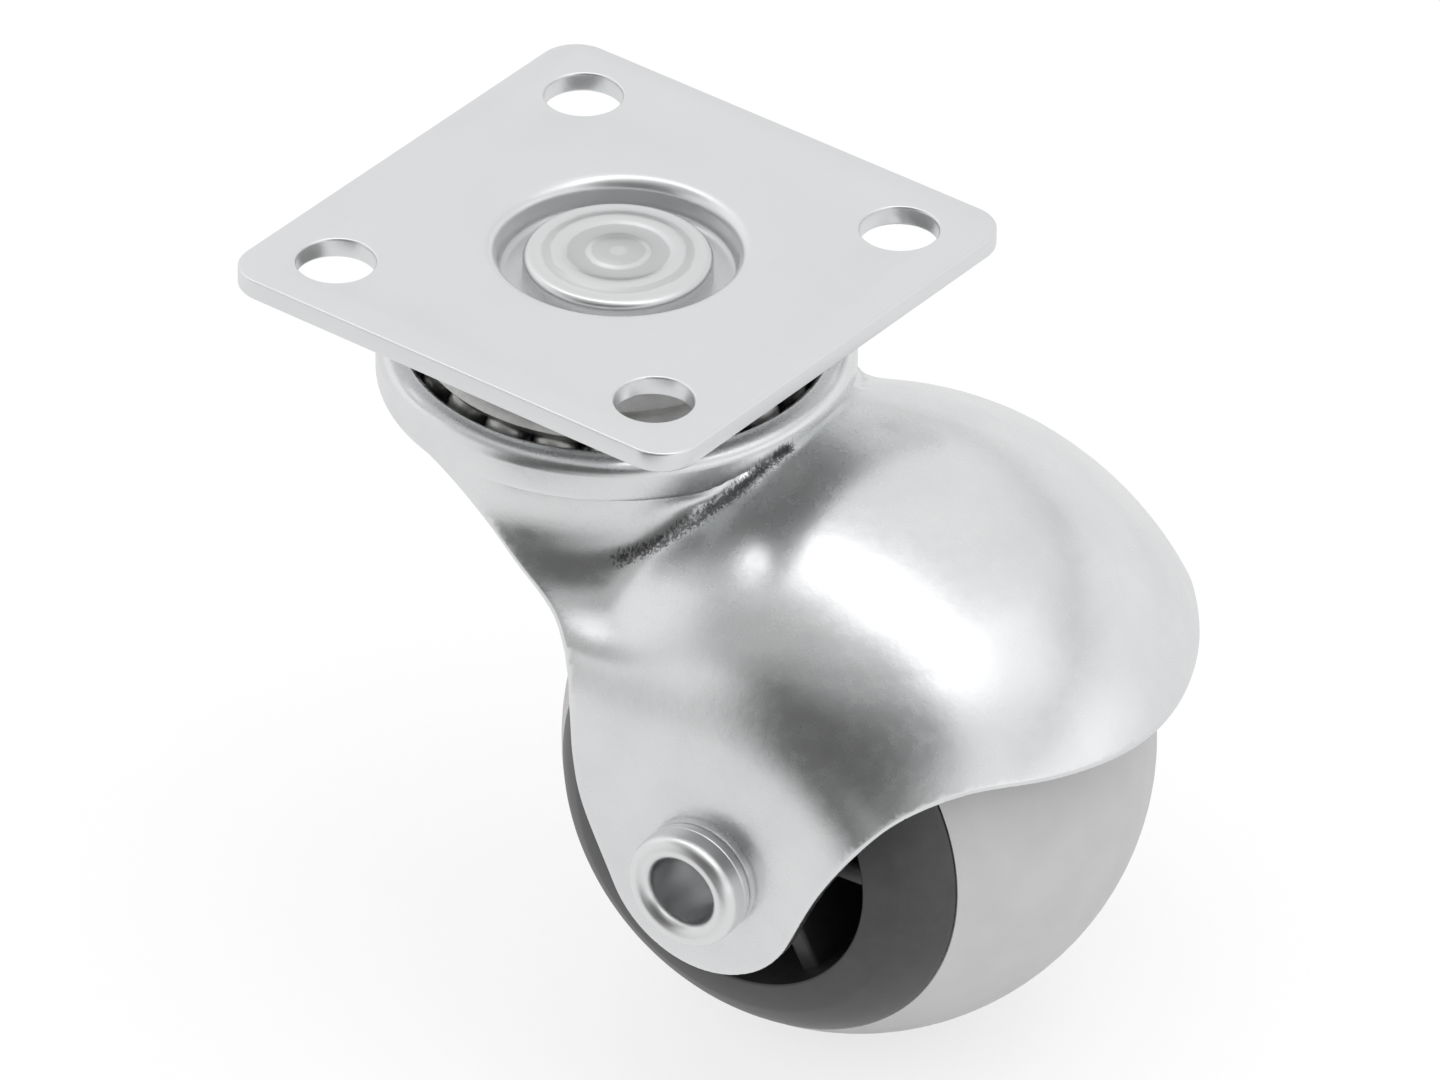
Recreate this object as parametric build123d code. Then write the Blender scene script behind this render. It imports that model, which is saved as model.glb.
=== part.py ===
from build123d import *
import os
from math import acos, asin, atan2, cos, degrees, hypot, radians, sin, sqrt, tan

os.makedirs("parts", exist_ok=True)

# Hooded ball castor for furniture, in millimetres, +Z up.
# The origin is the centre of the plate's top (mounting) face, on the swivel axis.
# The pressed yoke trails towards +X, turned a little about Z from the plate's edges.

# Mounting plate, a pressed square of steel sheet
PLATE_SIDE = 38.0
PLATE_SHEET = 1.5
PLATE_CORNER_R = 2.8
PLATE_EDGE_R = 0.45
HOLE_SPACING = 27.0
HOLE_DIA = 5.4
HOLE_RIM_R = 0.35

# Drawn recess in the middle of the plate, which holds the kingpin's head
RECESS_R = 8.2
RECESS_DEPTH = 2.4
RECESS_SHOULDER_R = 1.0
RECESS_CORNER_R = 0.6

# Kingpin, a solid rivet on the swivel axis
KINGPIN_R = 3.0
KINGPIN_HEAD_R = 6.45
KINGPIN_HEAD_H = 1.9
KINGPIN_HEAD_EDGE_R = 0.6
KINGPIN_STEP_RADII = (2.0, 3.6, 4.75)
KINGPIN_STEP_H = 0.1
KINGPIN_TAIL_R = 4.6
KINGPIN_TAIL_H = 1.9
KINGPIN_TAIL_DOME_H = 1.25

# Swivel bearing, one row of balls between the upper race and the crown
BALL_DIA = 3.175
BALL_COUNT = 20
BALL_INSET = 4.4
BALL_SINK = 0.7
RACE_SHEET = 1.1
RACE_CONE_W = 4.7
RACE_WRAP = 40.0
THRUST_WASHER_R = 7.4
THRUST_WASHER_T = 1.1

# Yoke, its crown, hood and two legs pressed from one sheet
YOKE_SHEET = 1.5
SWIVEL_AT_REST = 4.7
CROWN_R = 16.3
CROWN_TOP_DROP = 7.0
CROWN_FLOOR_DROP = 9.6
CROWN_LIP_W = 2.05
CROWN_LIP_ROUND = 1.1
CROWN_LIP_IN_ROUND = 0.7
CROWN_BASE_ROUND = 1.5
HOOD_ROOM = 3.2
HOOD_BACK = 0.5
HOOD_DOWN = 0.5
YOKE_HALF_W = 20.1
FLANK_BLEND_R = 8.0
SHOULDER_FLARE_R = 5.5
SHOULDER_FLARE_DROP = 12.5
SHOULDER_FLARE_SINK = 0.06

# Yoke's side outline, as (behind the axle, above the axle)
LEG_END_R = 7.6
LEG_ROUTE = (
    (-9.4, 2.1), (-10.25, 5.6), (-10.6, 9.5), (-11.0, 12.4),
    (-12.4, 14.4), (-17.2, 17.2), (-22.4, 21.2),
)
RIM_ROUTE = ((9.15, 1.6), (11.85, 5.85), (14.5, 8.9), (17.6, 10.2), (21.0, 9.8), (23.6, 9.0))

# Ball-shaped wheel, a moulded core with a soft tread
WHEEL_R = 20.2
WHEEL_HEADROOM = 1.1
TRAIL = 20.0
TREAD_HALF_W = 12.6
TREAD_T = 3.0
TREAD_SEAT_HALF_W = 6.0
TREAD_EDGE_T = 2.3
CORE_DOME_R = 12.7
CORE_DOME_W = 15.5
CORE_DOME_BULGE = 0.25
CORE_LIP_R = 10.4
CORE_LIP_W = 16.2
CORE_WEB_HALF_T = 2.5
HUB_R = 6.2
RIB_COUNT = 6
RIB_T = 1.6
RIB_SETBACK = 2.2

# Axle, a semi-tubular rivet through a spacer sleeve
AXLE_R = 3.0
AXLE_HEAD_R = 4.2
AXLE_HEAD_H = 1.8
AXLE_HEAD_DOME_H = 0.9
AXLE_BORE_R = 2.45
AXLE_BORE_DEPTH = 6.0
AXLE_CONE_DEPTH = 1.4
SLEEVE_R = 4.0
AXLE_WASHER_R = 4.15
AXLE_WASHER_T = 0.8
AXLE_WASHER_EDGE_R = 0.2

# Clearances
PIN_CLEARANCE = 0.05
BALL_CLEARANCE = 0.03
WHEEL_BORE_CLEARANCE = 0.05
WHEEL_SIDE_CLEARANCE = 0.35
THRUST_CLEARANCE = 0.05
SPARE = 1.0

# Levels on the swivel axis
RECESS_FLOOR_Z = -RECESS_DEPTH
RACE_SEAT_Z = RECESS_FLOOR_Z - PLATE_SHEET
CROWN_TOP_Z = -CROWN_TOP_DROP
CROWN_FLOOR_Z = -CROWN_FLOOR_DROP
CROWN_UNDER_Z = CROWN_FLOOR_Z - YOKE_SHEET
BALL_CIRCLE_R = CROWN_R - BALL_INSET
BALL_LEVEL_Z = CROWN_FLOOR_Z + BALL_SINK
BALL_CENTRE = (BALL_CIRCLE_R, BALL_LEVEL_Z)
GROOVE_R = BALL_DIA / 2 + BALL_CLEARANCE
RACE_HUB_R = BALL_CIRCLE_R - RACE_CONE_W
AXLE_DROP = WHEEL_R + WHEEL_HEADROOM - CROWN_UNDER_Z
HOOD_R = WHEEL_R + HOOD_ROOM + YOKE_SHEET
TREAD_SEAT_R = WHEEL_R - TREAD_T
THRUST_TOP_Z = CROWN_UNDER_Z - THRUST_CLEARANCE
KINGPIN_TAIL_Z = THRUST_TOP_Z - THRUST_WASHER_T
KINGPIN_BORE_R = KINGPIN_R + PIN_CLEARANCE

# Stations along the axle, from the wheel's middle plane out
EAR_IN = YOKE_HALF_W - YOKE_SHEET
HUB_HALF_W = EAR_IN - WHEEL_SIDE_CLEARANCE
AXLE_HOLE_R = AXLE_R + PIN_CLEARANCE
HEAD_SEAT = YOKE_HALF_W + AXLE_WASHER_T
WHEEL_BORE_R = SLEEVE_R + WHEEL_BORE_CLEARANCE

# The front view of the yoke: x is up, y is across
ACROSS = Plane(origin=(0, 0, 0), x_dir=(0, 0, 1), z_dir=(-1, 0, 0))


def at_axle(shape):
    """Move a shape made about the Y axis to the axle, in the yoke's own frame."""
    return Pos(TRAIL, 0, -AXLE_DROP) * shape


def swivelled(shape):
    """Turn a shape from the yoke's own frame to its place at rest."""
    return Rot(0, 0, SWIVEL_AT_REST) * shape


def on_circle(centre, radius, angle):
    """Point of a circle at an angle in degrees."""
    return (centre[0] + radius * cos(radians(angle)), centre[1] + radius * sin(radians(angle)))


def arc(centre, radius, start, end):
    """Arc about a centre from one angle to another, in degrees."""
    stops = [on_circle(centre, radius, angle) for angle in (start, (start + end) / 2, end)]
    return ThreePointArc(*stops)


def cap(radius, base, height):
    """Arc of a domed end, from its rim in to the axis; a negative height points down."""
    dome_r = (radius ** 2 + height ** 2) / (2 * abs(height))
    centre = base + height - dome_r * (1 if height > 0 else -1)
    rim = degrees(atan2(base - centre, radius))
    return arc((0, centre), dome_r, rim, 90 if height > 0 else -90)


def outline(*pieces):
    """Face bounded by drawn pieces in order, joined with straight lines and closed."""
    edges = []
    for piece, following in zip(pieces, pieces[1:] + pieces[:1]):
        edges += piece.edges()
        if (piece @ 1 - following @ 0).length > 1e-5:
            edges.append(Line(piece @ 1, following @ 0))
    return make_face(Wire(edges))


def turned_about_z(face):
    """Turn a (radius, height) half section about the swivel axis."""
    return revolve(Plane.XZ * face, Axis.Z, 360)


def turned_about_y(face):
    """Turn a (radius, station) half section about the axle."""
    return revolve(face, Axis.Y, 360)


def top_plate():
    """Square sheet with four screw holes and a drawn recess."""
    sheet = extrude(RectangleRounded(PLATE_SIDE, PLATE_SIDE, PLATE_CORNER_R), amount=-PLATE_SHEET)
    boss_r = RECESS_R + PLATE_SHEET
    corner = RECESS_CORNER_R + PLATE_SHEET
    boss = turned_about_z(outline(
        Line((0, -PLATE_SHEET / 2), (boss_r, -PLATE_SHEET / 2)),
        arc((boss_r - corner, RACE_SEAT_Z + corner), corner, 0, -90),
        Line((boss_r - corner, RACE_SEAT_Z), (0, RACE_SEAT_Z)),
    ))
    shoulder_r = RECESS_R + RECESS_SHOULDER_R
    floor_r = RECESS_R - RECESS_CORNER_R
    recess = turned_about_z(outline(
        Line((0, SPARE), (shoulder_r, SPARE)),
        Line((shoulder_r, SPARE), (shoulder_r, 0)),
        arc((shoulder_r, -RECESS_SHOULDER_R), RECESS_SHOULDER_R, 90, 180),
        arc((floor_r, RECESS_FLOOR_Z + RECESS_CORNER_R), RECESS_CORNER_R, 0, -90),
        Line((floor_r, RECESS_FLOOR_Z), (0, RECESS_FLOOR_Z)),
    ))
    holes = GridLocations(HOLE_SPACING, HOLE_SPACING, 2, 2) * Cylinder(HOLE_DIA / 2, 3 * PLATE_SHEET)
    plate = sheet - holes
    rims = plate.edges().filter_by(GeomType.CIRCLE).group_by(Axis.Z)[-1]
    rims = rims.filter_by(lambda edge: abs(edge.radius - HOLE_DIA / 2) < 1e-3)
    plate = fillet(rims, HOLE_RIM_R)
    border = plate.faces().sort_by(Axis.Z)[-1].outer_wire().edges()
    plate = fillet(border, PLATE_EDGE_R)
    bore = Cylinder(KINGPIN_BORE_R, 4 * RECESS_DEPTH)
    return plate + boss - recess - bore


def kingpin():
    """Rivet with a stepped, turned head above and a formed tail below."""
    head_z = RECESS_FLOOR_Z + KINGPIN_HEAD_H
    edge = KINGPIN_HEAD_EDGE_R
    steps = []
    high = True
    inner = 0
    for outer in (*KINGPIN_STEP_RADII, KINGPIN_HEAD_R - edge):
        level = head_z if high else head_z - KINGPIN_STEP_H
        steps.append(Line((inner, level), (outer, level)))
        inner = outer
        high = not high
    edge_z = head_z - KINGPIN_STEP_H - edge
    tail_end = KINGPIN_TAIL_Z - KINGPIN_TAIL_H
    return turned_about_z(outline(
        *steps,
        arc((KINGPIN_HEAD_R - edge, edge_z), edge, 90, 0),
        Line((KINGPIN_HEAD_R, RECESS_FLOOR_Z), (KINGPIN_R, RECESS_FLOOR_Z)),
        Line((KINGPIN_R, KINGPIN_TAIL_Z), (KINGPIN_TAIL_R, KINGPIN_TAIL_Z)),
        cap(KINGPIN_TAIL_R, tail_end + KINGPIN_TAIL_DOME_H, -KINGPIN_TAIL_DOME_H),
    ))


def upper_race():
    """Pressed washer under the plate, with a groove over the balls."""
    outer = GROOVE_R + RACE_SHEET
    start = 90 + RACE_WRAP
    end = 90 - RACE_WRAP
    cone_foot = on_circle(BALL_CENTRE, outer, start)
    slope = atan2(RACE_SEAT_Z - cone_foot[1], cone_foot[0] - RACE_HUB_R)
    under_r = RACE_HUB_R - RACE_SHEET * tan(slope / 2)
    under_z = RACE_SEAT_Z - RACE_SHEET
    return turned_about_z(outline(
        Line((KINGPIN_BORE_R, RACE_SEAT_Z), (RACE_HUB_R, RACE_SEAT_Z)),
        arc(BALL_CENTRE, outer, start, end),
        arc(BALL_CENTRE, GROOVE_R, end, start),
        Line((under_r, under_z), (KINGPIN_BORE_R, under_z)),
    ))


def swivel_ball(index):
    """One steel ball of the row."""
    angle = 360 * index / BALL_COUNT
    x, y = on_circle((0, 0), BALL_CIRCLE_R, angle)
    return Pos(x, y, BALL_LEVEL_Z) * Sphere(BALL_DIA / 2)


def thrust_washer():
    """Flat washer between the crown and the kingpin's tail."""
    washer = Cylinder(THRUST_WASHER_R, THRUST_WASHER_T) - Cylinder(KINGPIN_BORE_R, 2 * THRUST_WASHER_T)
    return Pos(0, 0, THRUST_TOP_Z - THRUST_WASHER_T / 2) * washer


def barrel_section(inset):
    """Half of the hood's section, as (radius, station): flat flanks, blends and a sphere."""
    radius = HOOD_R - inset
    half = YOKE_HALF_W - inset
    blend = FLANK_BLEND_R - inset
    blend_y = half - blend
    blend_x = sqrt((radius - blend) ** 2 - blend_y ** 2)
    lean = degrees(atan2(blend_y, blend_x))
    return outline(
        Line((0, half), (blend_x, half)),
        arc((blend_x, blend_y), blend, 90, lean),
        arc((0, 0), radius, lean, -lean),
        arc((blend_x, -blend_y), blend, -lean, -90),
        Line((blend_x, -half), (0, -half)),
    )


def at_hood(shape):
    """Move a shape to the middle of the hood's sphere."""
    return Pos(TRAIL + HOOD_BACK, 0, -AXLE_DROP - HOOD_DOWN) * shape


def hood_barrel(inset):
    """Ball hood with flat flanks, as a solid."""
    return at_hood(turned_about_y(barrel_section(inset)))


def crown_wall(inset):
    """Round wall below the crown's edge, flaring out over the legs, as a solid."""
    top = CROWN_UNDER_Z + CROWN_BASE_ROUND - inset
    radius = CROWN_R - inset
    column = Cylinder(radius, top + AXLE_DROP, align=(Align.CENTER, Align.CENTER, Align.MIN))
    flare_r = SHOULDER_FLARE_R + inset
    flare_out = CROWN_R + SHOULDER_FLARE_R - SHOULDER_FLARE_SINK
    brim_z = -SHOULDER_FLARE_DROP - flare_r
    brim_r = hypot(TRAIL, YOKE_HALF_W) + SPARE
    brim = turned_about_z(outline(
        Line((0, -SHOULDER_FLARE_DROP), (flare_out - flare_r, -SHOULDER_FLARE_DROP)),
        arc((flare_out, -SHOULDER_FLARE_DROP), flare_r, 180, 270),
        Polyline((flare_out, brim_z), (brim_r, brim_z), (brim_r, -AXLE_DROP), (0, -AXLE_DROP)),
    ))
    between_legs = at_hood(extrude(ACROSS * barrel_section(inset), amount=TRAIL + CROWN_R))
    return Pos(0, 0, -AXLE_DROP) * column + (brim & between_legs)


def side_outline():
    """The yoke below its crown, seen from the side, as a face in the XZ plane."""
    def place(point):
        return (TRAIL + point[0], -AXLE_DROP + point[1])

    def leg_end_angle(point, side):
        """Angle at which a line from a point touches the leg's round end."""
        return degrees(atan2(point[1], point[0]) + side * acos(LEG_END_R / hypot(*point)))

    def tangent(angle, side):
        return Vector(side * sin(radians(angle)), -side * cos(radians(angle)))

    centre = place((0, 0))
    front_angle = leg_end_angle(LEG_ROUTE[0], 1) - 360
    back_angle = leg_end_angle(RIM_ROUTE[0], -1)
    beyond = (HOOD_R + HOOD_BACK + SPARE, RIM_ROUTE[-1][1] - SPARE)
    rim_points = [on_circle(centre, LEG_END_R, back_angle)] + [place(point) for point in (*RIM_ROUTE, beyond)]
    rim_end = Vector(rim_points[-1]) - Vector(rim_points[-2])
    leg_points = [on_circle(centre, LEG_END_R, front_angle)] + [place(point) for point in LEG_ROUTE]
    leg_end = Vector(leg_points[-1]) - Vector(leg_points[-2])
    return outline(
        Spline(*leg_points[::-1], tangents=(leg_end * -1, tangent(front_angle, -1))),
        arc(centre, LEG_END_R, front_angle, back_angle),
        Spline(*rim_points, tangents=(tangent(back_angle, -1), rim_end)),
        Line((rim_points[-1][0], 0), (leg_points[-1][0], 0)),
    )


def crown_bowl():
    """Upper side of the crown, from its bore out over the groove to the lip."""
    floor_angle = 180 - degrees(asin((CROWN_FLOOR_Z - BALL_LEVEL_Z) / GROOVE_R))
    lip_in_centre = (CROWN_R - CROWN_LIP_W + CROWN_LIP_IN_ROUND, CROWN_TOP_Z - CROWN_LIP_IN_ROUND)
    return (
        Line((0, CROWN_FLOOR_Z), on_circle(BALL_CENTRE, GROOVE_R, floor_angle)),
        arc(BALL_CENTRE, GROOVE_R, floor_angle, 360),
        arc(lip_in_centre, CROWN_LIP_IN_ROUND, 180, 90),
    )


def crown_ring():
    """Crown of the yoke: floor, ball groove and a folded lip."""
    under_r = GROOVE_R + YOKE_SHEET
    under_angle = degrees(asin((CROWN_UNDER_Z - BALL_LEVEL_Z) / under_r))
    lip_centre = (CROWN_R - CROWN_LIP_ROUND, CROWN_TOP_Z - CROWN_LIP_ROUND)
    base_centre = (CROWN_R - CROWN_BASE_ROUND, CROWN_UNDER_Z + CROWN_BASE_ROUND)
    return turned_about_z(outline(
        *crown_bowl(),
        arc(lip_centre, CROWN_LIP_ROUND, 90, 0),
        arc(base_centre, CROWN_BASE_ROUND, 0, -90),
        arc(BALL_CENTRE, under_r, under_angle, -180 - under_angle),
        Line(on_circle(BALL_CENTRE, under_r, -180 - under_angle), (0, CROWN_UNDER_Z)),
    ))


def bowl_space():
    """Space above the crown's floor and groove, inside its lip."""
    bowl = crown_bowl()
    top_r = (bowl[-1] @ 1).X
    return turned_about_z(outline(*bowl, Line((top_r, 0), (0, 0))))


def hood_yoke():
    """Crown, ball hood and two legs, pressed from one sheet."""
    outside = hood_barrel(0) + crown_wall(0)
    inside = hood_barrel(YOKE_SHEET) + crown_wall(YOKE_SHEET)
    side = extrude(Plane.XZ * side_outline(), amount=2 * YOKE_HALF_W, both=True)
    skin = (outside - inside) & side
    yoke = skin + crown_ring() - bowl_space()
    yoke -= Cylinder(KINGPIN_BORE_R, 3 * AXLE_DROP)
    axle_hole = at_axle(Rot(90, 0, 0) * Cylinder(AXLE_HOLE_R, 3 * YOKE_HALF_W))
    return yoke - axle_hole


def axle_rivet():
    """Semi-tubular rivet, its hollow end rolled over on the -Y side."""
    seat = -HEAD_SEAT
    crest = seat - AXLE_HEAD_H
    roll_r = (AXLE_HEAD_R + AXLE_BORE_R) / 2
    roll_edge = crest + AXLE_HEAD_DOME_H
    bore_end = crest + AXLE_BORE_DEPTH
    return turned_about_y(outline(
        Line((0, bore_end + AXLE_CONE_DEPTH), (AXLE_BORE_R, bore_end)),
        ThreePointArc((AXLE_BORE_R, roll_edge), (roll_r, crest), (AXLE_HEAD_R, roll_edge)),
        Line((AXLE_HEAD_R, seat), (AXLE_R, seat)),
        Line((AXLE_R, HEAD_SEAT), (AXLE_HEAD_R, HEAD_SEAT)),
        cap(AXLE_HEAD_R, HEAD_SEAT + AXLE_HEAD_H - AXLE_HEAD_DOME_H, AXLE_HEAD_DOME_H),
    ))


def axle_sleeve():
    """Spacer tube between the legs, which the wheel turns on."""
    tube = Cylinder(SLEEVE_R, 2 * EAR_IN) - Cylinder(AXLE_HOLE_R, 3 * EAR_IN)
    return Rot(90, 0, 0) * tube


def axle_washer(side):
    """Thin washer between a leg and the rivet's head; side is -1 or 1."""
    disc = Cylinder(AXLE_WASHER_R, AXLE_WASHER_T) - Cylinder(AXLE_HOLE_R, 2 * AXLE_WASHER_T)
    rims = disc.edges().filter_by(GeomType.CIRCLE)
    rims = rims.filter_by(lambda edge: edge.radius > AXLE_HOLE_R + AXLE_WASHER_EDGE_R)
    disc = fillet(rims, AXLE_WASHER_EDGE_R)
    return Pos(0, side * (YOKE_HALF_W + AXLE_WASHER_T / 2), 0) * Rot(90, 0, 0) * disc


def tread_side(side):
    """Corners of the seat between core and tread on one side, from the outside in."""
    edge = (sqrt(WHEEL_R ** 2 - TREAD_HALF_W ** 2), side * TREAD_HALF_W)
    scale = 1 - TREAD_EDGE_T / WHEEL_R
    return edge, (edge[0] * scale, edge[1] * scale), (TREAD_SEAT_R, side * TREAD_SEAT_HALF_W)


def wheel_tread():
    """Soft grey tyre, part of a sphere, moulded round the core."""
    lean = degrees(asin(TREAD_HALF_W / WHEEL_R))
    upper = tread_side(1)
    lower = tread_side(-1)
    return turned_about_y(outline(
        arc((0, 0), WHEEL_R, -lean, lean),
        Polyline(*upper),
        Polyline(*lower[::-1]),
    ))


def wheel_core():
    """Dark moulded centre with domed sides, deep recesses, a hub and ribs."""
    edge, seat_edge, seat = tread_side(1)
    dome = (CORE_DOME_R, CORE_DOME_W)
    along = Vector(edge[0] - dome[0], edge[1] - dome[1])
    bulge = Vector(*dome) + along / 2 + Vector(-along.Y, along.X).normalized() * CORE_DOME_BULGE
    half = turned_about_y(outline(
        Polyline(seat_edge, seat, (TREAD_SEAT_R, 0), (WHEEL_BORE_R, 0), (WHEEL_BORE_R, HUB_HALF_W)),
        Polyline((WHEEL_BORE_R, HUB_HALF_W), (HUB_R, HUB_HALF_W), (HUB_R, CORE_WEB_HALF_T)),
        Polyline((HUB_R, CORE_WEB_HALF_T), (CORE_LIP_R, CORE_WEB_HALF_T), (CORE_LIP_R, CORE_LIP_W), dome),
        ThreePointArc(dome, (bulge.X, bulge.Y), edge),
    ))
    core = half + half.mirror(Plane.XZ)
    rib_w = 2 * (CORE_LIP_W - RIB_SETBACK)
    rib_x = (HUB_R + CORE_LIP_R) / 2
    rib = Pos(rib_x, 0, 0) * Box(CORE_LIP_R - HUB_R + SPARE, rib_w, RIB_T)
    for index in range(RIB_COUNT):
        core += Rot(0, 360 * index / RIB_COUNT, 0) * rib
    return core


def save(shape, name):
    """Write one named piece as a STEP file."""
    export_step(shape, os.path.join("parts", name + ".step"))


def main():
    """Build every piece at its place at rest."""
    save(top_plate(), "top_plate")
    save(kingpin(), "kingpin")
    save(upper_race(), "upper_race")
    save(thrust_washer(), "thrust_washer")
    for index in range(BALL_COUNT):
        save(swivel_ball(index), f"swivel_ball_{index + 1:02d}")
    save(swivelled(hood_yoke()), "hood_yoke")
    save(swivelled(at_axle(axle_rivet())), "axle_rivet")
    save(swivelled(at_axle(axle_sleeve())), "axle_sleeve")
    save(swivelled(at_axle(axle_washer(-1))), "axle_washer_near")
    save(swivelled(at_axle(axle_washer(1))), "axle_washer_far")
    save(swivelled(at_axle(wheel_core())), "wheel_core")
    save(swivelled(at_axle(wheel_tread())), "wheel_tread")


main()
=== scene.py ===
import logging
import math
from dataclasses import dataclass
from enum import Enum
from typing import Iterable, Sequence

import bmesh
import bpy
from bpy.types import Material, Mesh
from mathutils import Matrix, Vector
from mathutils.kdtree import KDTree


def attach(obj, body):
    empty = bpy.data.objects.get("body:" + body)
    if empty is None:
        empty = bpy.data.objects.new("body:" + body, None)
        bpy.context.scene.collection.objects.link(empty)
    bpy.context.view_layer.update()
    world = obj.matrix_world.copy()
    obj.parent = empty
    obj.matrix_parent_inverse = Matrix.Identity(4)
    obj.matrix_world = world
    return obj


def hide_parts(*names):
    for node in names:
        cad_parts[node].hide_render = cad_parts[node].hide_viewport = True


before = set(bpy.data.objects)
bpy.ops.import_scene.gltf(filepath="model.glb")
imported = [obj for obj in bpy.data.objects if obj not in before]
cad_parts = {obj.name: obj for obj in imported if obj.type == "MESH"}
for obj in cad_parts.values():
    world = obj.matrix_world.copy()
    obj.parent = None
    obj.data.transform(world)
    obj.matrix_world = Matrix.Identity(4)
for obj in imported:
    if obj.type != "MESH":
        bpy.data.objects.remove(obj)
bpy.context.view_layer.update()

LOG = logging.getLogger("castor")
MM = 0.001
SWIVEL_AT_REST = math.radians(4.7)
TRAIL = 20.0
AXLE_DROP = 32.4
BALL_CIRCLE_R = 11.9
BALL_LEVEL = -8.9
GROOVE_R = 1.6175
IN_YOKE = Matrix.Scale(MM, 4) @ Matrix.Rotation(SWIVEL_AT_REST, 4, "Z")
ON_AXLE = IN_YOKE @ Matrix.Translation((TRAIL, 0, -AXLE_DROP))

Point = tuple[float, float]
Triple = tuple[float, float, float]


class Join(Enum):
    """How one solid is combined with another."""

    ADD = "UNION"
    CUT = "DIFFERENCE"
    KEEP = "INTERSECT"


class Axis(Enum):
    """Axis that a half section is turned about."""

    UP = (0, 0, 1)
    AXLE = (0, 1, 0)


def polar(centre: Point, radius: float, angle: float) -> Point:
    """Find the point of a circle at an angle in degrees."""
    turn = math.radians(angle)
    return (centre[0] + radius * math.cos(turn), centre[1] + radius * math.sin(turn))


def arc(centre: Point, radius: float, start: float, end: float, step: float = 6.0) -> list[Point]:
    """Draw an arc between two angles as points, at most a step in degrees apart."""
    count = max(2, math.ceil(abs(end - start) / step))
    return [polar(centre, radius, start + (end - start) * i / count) for i in range(count + 1)]


def flowing(points: Sequence[Point], step: int = 10) -> list[Point]:
    """Draw a smooth line through points.

    Args:
        points: The points that the line passes.
        step: How many short runs lie between two points.

    Returns:
        The points of the smooth line.
    """
    knots = [Vector(point) for point in points]
    ends = [2 * knots[0] - knots[1], *knots, 2 * knots[-1] - knots[-2]]
    line = []
    for before, start, end, after in zip(ends, ends[1:], ends[2:], ends[3:]):
        for i in range(step):
            t = i / step
            line.append(0.5 * (2 * start + (end - before) * t
                               + (2 * before - 5 * start + 4 * end - after) * t ** 2
                               + (3 * start - before - 3 * end + after) * t ** 3))
    return [(point.x, point.y) for point in [*line, knots[-1]]]


def lathe(section: Sequence[Point], axis: Axis, steps: int = 128) -> Mesh:
    """Turn a closed half section of (radius, station) points about an axis.

    Args:
        section: The section's points in order.
        axis: The axis that it is turned about.
        steps: How many flats go round.

    Returns:
        A closed mesh in millimetres.
    """
    shape = bmesh.new()
    along = Vector(axis.value)
    corners = [shape.verts.new(Vector((max(r, 0.0), 0, 0)) + along * s) for r, s in section]
    rims = [shape.edges.new(pair) for pair in zip(corners, corners[1:] + corners[:1])
            if (pair[0].co - pair[1].co).length > 1e-6]
    bmesh.ops.spin(shape, geom=[*corners, *rims], cent=(0, 0, 0), axis=along,
                   angle=math.tau, steps=steps, use_merge=True)
    bmesh.ops.remove_doubles(shape, verts=shape.verts, dist=1e-4)
    loose = [face for face in shape.faces if face.calc_area() < 1e-9]
    bmesh.ops.delete(shape, geom=loose, context="FACES_ONLY")
    bmesh.ops.recalc_face_normals(shape, faces=shape.faces)
    return meshed(shape, "turned")


def disc(outer: float, high: float, low: float, axis: Axis = Axis.UP, steps: int = 128,
         inner: float = 0.0) -> Mesh:
    """Turn a plain disc, or a ring where it has an inner radius."""
    return lathe([(inner, high), (outer, high), (outer, low), (inner, low)], axis, steps)


def carried(outline: Iterable[Triple], away: Triple) -> Mesh:
    """Carry a flat closed outline through space.

    Args:
        outline: The outline's corners in order.
        away: How far it is carried, and which way.

    Returns:
        A closed mesh in millimetres.
    """
    shape = bmesh.new()
    face = shape.faces.new([shape.verts.new(corner) for corner in outline])
    made = bmesh.ops.extrude_face_region(shape, geom=[face])
    far = [item for item in made["geom"] if isinstance(item, bmesh.types.BMVert)]
    bmesh.ops.translate(shape, verts=far, vec=away)
    bmesh.ops.recalc_face_normals(shape, faces=shape.faces)
    return meshed(shape, "carried")


def meshed(shape: bmesh.types.BMesh, name: str) -> Mesh:
    """Close a bmesh into a mesh.

    Args:
        shape: The bmesh, which is freed.
        name: The mesh's name.

    Returns:
        The mesh.
    """
    mesh = bpy.data.meshes.new(name)
    shape.to_mesh(mesh)
    shape.free()
    return mesh


def sharp_edges(shape: bmesh.types.BMesh, angle: float) -> list[bmesh.types.BMEdge]:
    """Find the edges that turn by more than an angle in degrees."""
    least = math.radians(angle)
    return [edge for edge in shape.edges if edge.is_manifold and edge.calc_face_angle() > least]


def shown(name: str, data: bpy.types.ID) -> bpy.types.Object:
    """Put an object with its data into the scene and return it."""
    made = bpy.data.objects.new(name, data)
    bpy.context.scene.collection.objects.link(made)
    return made


def moved(mesh: Mesh, matrix: Matrix) -> Mesh:
    """Place a mesh by a matrix and return it."""
    mesh.transform(matrix)
    return mesh


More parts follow.
